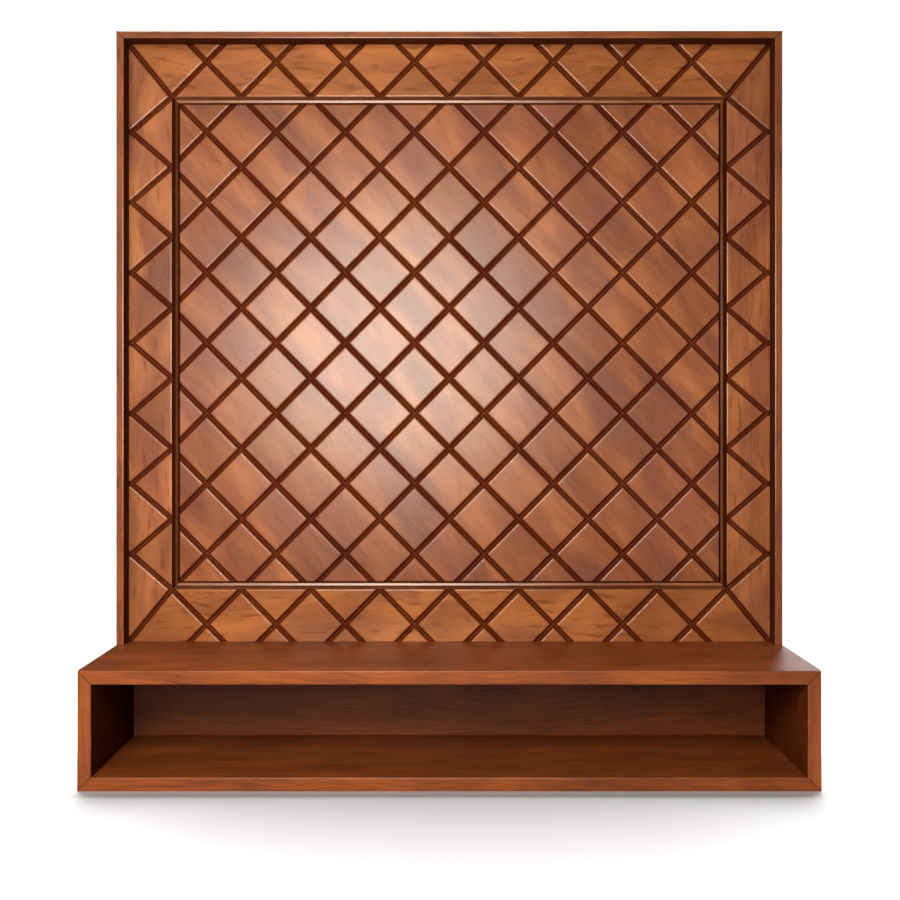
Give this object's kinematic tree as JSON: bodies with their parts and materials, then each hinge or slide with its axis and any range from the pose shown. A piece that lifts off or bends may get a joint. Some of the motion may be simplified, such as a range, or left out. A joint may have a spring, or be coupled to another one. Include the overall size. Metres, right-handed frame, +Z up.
{
  "type": "lattice wall panel",
  "caption": "Grooved diamond lattice wall panel with a bead moulding, a mitred grooved border and a slat frame, standing on an open shelf box.",
  "frame": {"origin": "on the box's underside, under the middle of the whole footprint", "axes": "+X to the right as seen from the room, +Y towards the wall, +Z up"},
  "size_m": [1.2, 0.304, 1.301],
  "materials": {
    "box_wood": "satin lacquered dark hardwood",
    "frame_wood": "satin lacquered hardwood",
    "border_wood": "glossy lacquered hardwood, grooves stained dark",
    "bead_wood": "glossy lacquered hardwood",
    "field_wood": "glossy lacquered hardwood, grooves stained dark"
  },
  "bodies": {
    "root": {"box_top": "box_wood", "box_right": "box_wood", "box_bottom": "box_wood", "box_left": "box_wood", "box_back": "box_wood", "frame_top_rail": "frame_wood", "frame_stile_right": "frame_wood", "frame_stile_left": "frame_wood", "border_top": "border_wood", "border_right": "border_wood", "border_bottom": "border_wood", "border_left": "border_wood", "bead_top": "bead_wood", "bead_right": "bead_wood", "bead_bottom": "bead_wood", "bead_left": "bead_wood", "lattice_field": "field_wood"}
  },
  "joints": []
}
